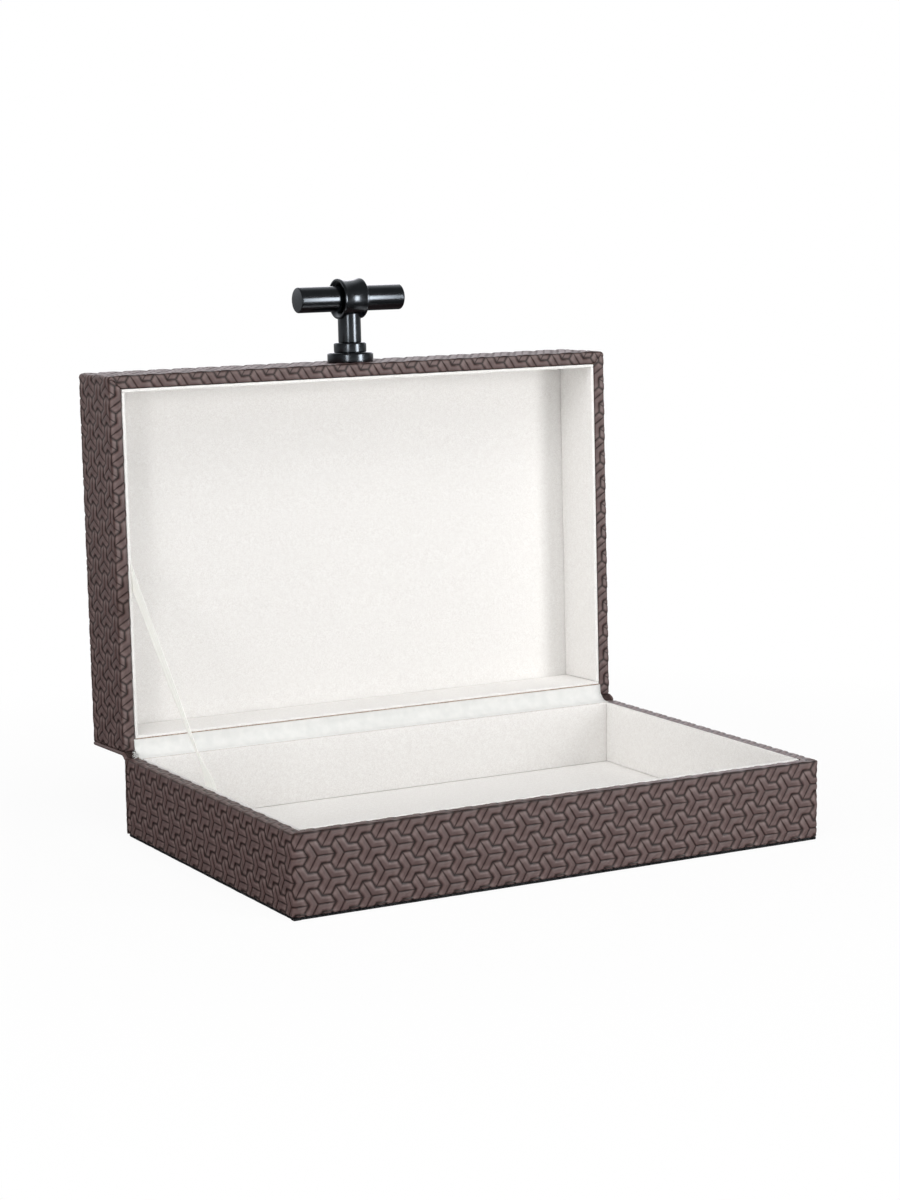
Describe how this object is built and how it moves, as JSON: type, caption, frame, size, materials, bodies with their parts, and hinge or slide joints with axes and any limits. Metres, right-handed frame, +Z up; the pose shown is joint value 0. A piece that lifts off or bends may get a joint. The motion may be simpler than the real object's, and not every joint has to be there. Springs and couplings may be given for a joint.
{
  "type": "cufflink display box",
  "caption": "Hinged display box in woven-look embossed leatherette with a pale flocked lining, a ribbon stay and a black T-bar pull on the lid.",
  "frame": {"origin": "centre of the underside of the base", "axes": "+X to the right along the box's width, +Y towards the hinge at the back, +Z up"},
  "size_m": [0.26, 0.2117, 0.2461],
  "materials": {
    "leatherette": "satin",
    "flocked_lining": "matte",
    "hinge_cloth": "matte",
    "satin_ribbon": "satin",
    "boards": "matte",
    "felt": "matte",
    "black_metal": "satin",
    "plain_steel": "satin"
  },
  "bodies": {
    "base": {"underside_felt": "felt", "base_floor_board": "boards", "base_front_board": "boards", "base_back_board": "boards", "base_left_board": "boards", "base_right_board": "boards", "base_wrap": "leatherette", "spine_base_leaf": "leatherette", "base_floor_lining": "flocked_lining", "base_front_lining": "flocked_lining", "base_back_lining": "flocked_lining", "base_left_lining": "flocked_lining", "base_right_lining": "flocked_lining", "hinge_cloth_base_leaf": "hinge_cloth", "spine_fold": "leatherette", "hinge_cloth_fold": "hinge_cloth", "ribbon_stay": "satin_ribbon"},
    "lid": {"lid_top_board": "boards", "lid_front_board": "boards", "lid_back_board": "boards", "lid_left_board": "boards", "lid_right_board": "boards", "lid_wrap": "leatherette", "lid_top_skin": "leatherette", "spine_lid_leaf": "leatherette", "lid_top_lining": "flocked_lining", "lid_front_lining": "flocked_lining", "lid_back_lining": "flocked_lining", "lid_left_lining": "flocked_lining", "lid_right_lining": "flocked_lining", "hinge_cloth_lid_leaf": "hinge_cloth", "handle_rose": "black_metal", "handle_collar": "black_metal", "handle_post": "black_metal", "handle_ring": "black_metal", "handle_bar": "black_metal", "handle_stud": "plain_steel", "handle_screw": "plain_steel", "handle_washer": "plain_steel"}
  },
  "joints": [
    {"name": "lid_hinge", "type": "hinge", "parent": "base", "child": "lid", "pos_m": [0, 0.0862, 0.0365], "axis": [1, 0, 0], "range_deg": [0, 91.5], "deforming": ["spine_fold", "hinge_cloth_fold", "ribbon_stay"]}
  ]
}
